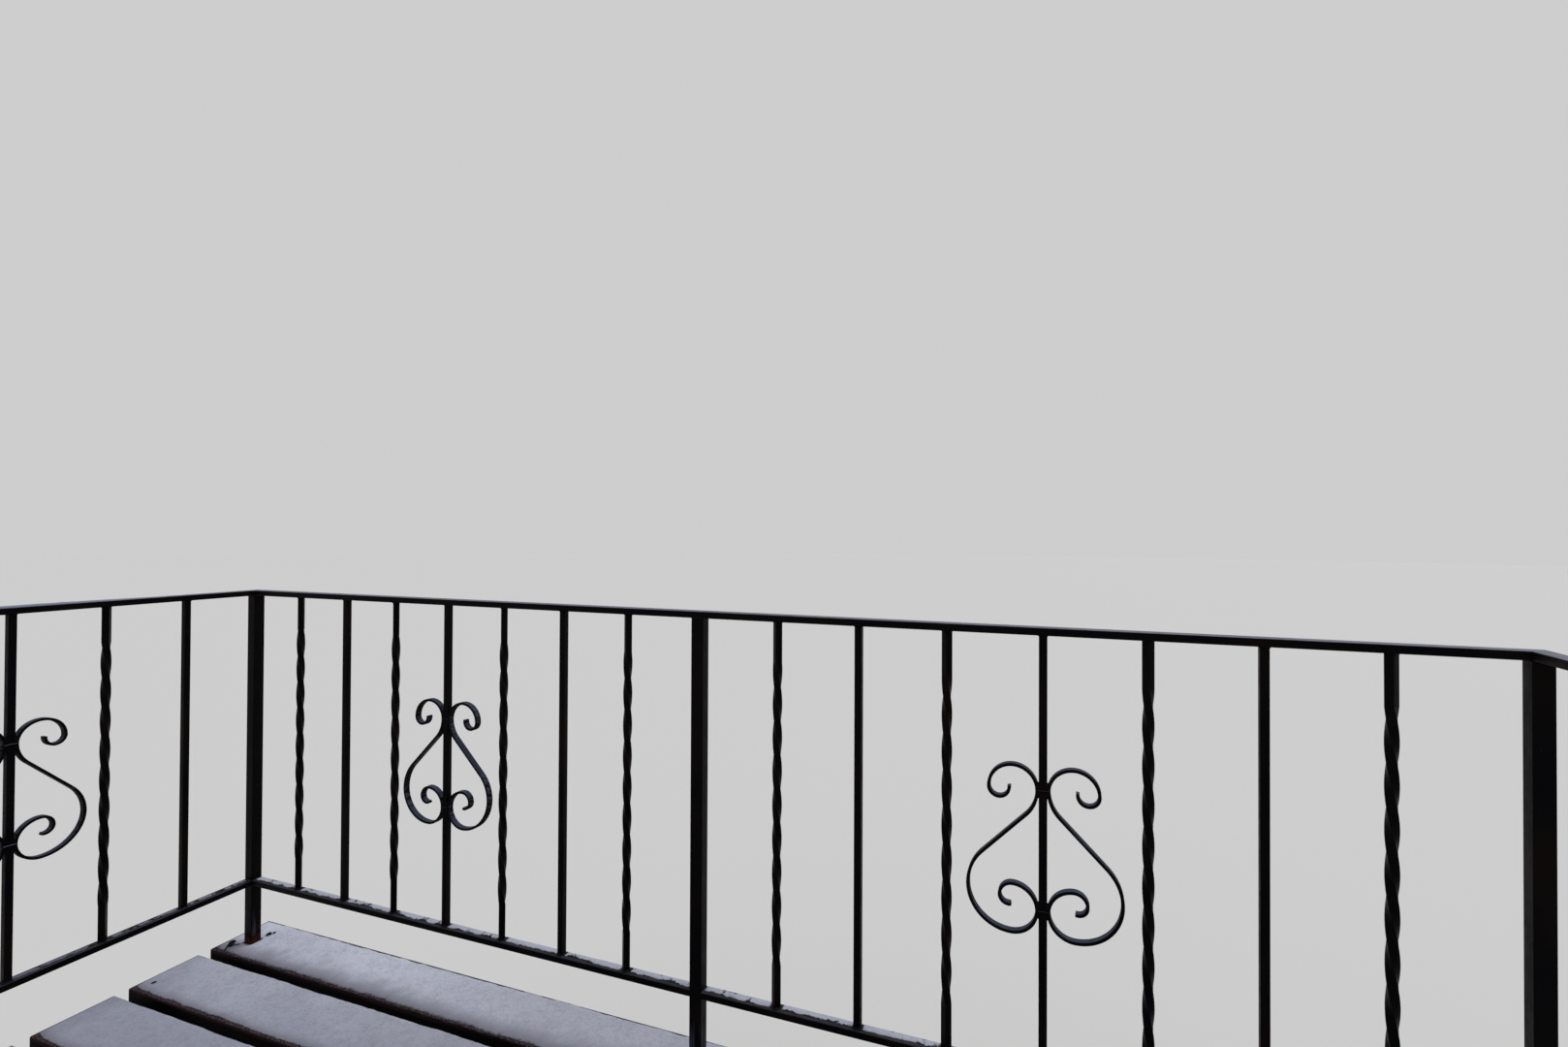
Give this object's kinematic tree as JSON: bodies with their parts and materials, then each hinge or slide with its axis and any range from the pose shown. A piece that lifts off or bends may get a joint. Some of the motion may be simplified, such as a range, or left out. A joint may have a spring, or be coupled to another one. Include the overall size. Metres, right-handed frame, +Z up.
{
  "type": "wall-hung balcony with a wrought-iron guard",
  "caption": "Shallow wall-hung balcony: wrought-iron guard with twisted pickets and mirrored S-scrolls around a deck of spaced planks on knee brackets.",
  "frame": {"origin": "on the wall face of the middle bracket's leg, on the balcony's centre line, level with the underside of the planks", "axes": "+X along the wall, to the right when looking out from the wall; +Y out from the wall; +Z up"},
  "size_m": [2.72, 1.085, 1.612],
  "materials": {
    "black_ironwork": "satin black paint over hand-worked iron bar",
    "stained_planks": "dark brown stain, weathered at the edges, under a thin dusting of snow",
    "bracket_steel": "satin black paint"
  },
  "bodies": {
    "root": {"left_corner_post": "black_ironwork", "middle_post": "black_ironwork", "right_corner_post": "black_ironwork", "left_wall_post": "black_ironwork", "right_wall_post": "black_ironwork", "front_top_rail": "black_ironwork", "left_top_rail": "black_ironwork", "right_top_rail": "black_ironwork", "front_left_bottom_rail": "black_ironwork", "front_right_bottom_rail": "black_ironwork", "left_bottom_rail": "black_ironwork", "right_bottom_rail": "black_ironwork", "front_left_pickets": "black_ironwork", "front_right_pickets": "black_ironwork", "left_pickets": "black_ironwork", "right_pickets": "black_ironwork", "front_left_scrolls": "black_ironwork", "front_right_scrolls": "black_ironwork", "left_scrolls": "black_ironwork", "right_scrolls": "black_ironwork", "left_upper_wall_plate": "black_ironwork", "left_lower_wall_plate": "black_ironwork", "right_upper_wall_plate": "black_ironwork", "right_lower_wall_plate": "black_ironwork", "deck_plank_1": "stained_planks", "deck_plank_2": "stained_planks", "deck_plank_3": "stained_planks", "deck_plank_4": "stained_planks", "deck_plank_5": "stained_planks", "deck_plank_6": "stained_planks", "left_bracket_leg": "bracket_steel", "middle_bracket_leg": "bracket_steel", "right_bracket_leg": "bracket_steel", "left_bracket_arm": "bracket_steel", "middle_bracket_arm": "bracket_steel", "right_bracket_arm": "bracket_steel", "left_bracket_brace": "bracket_steel", "middle_bracket_brace": "bracket_steel", "right_bracket_brace": "bracket_steel"}
  },
  "joints": []
}
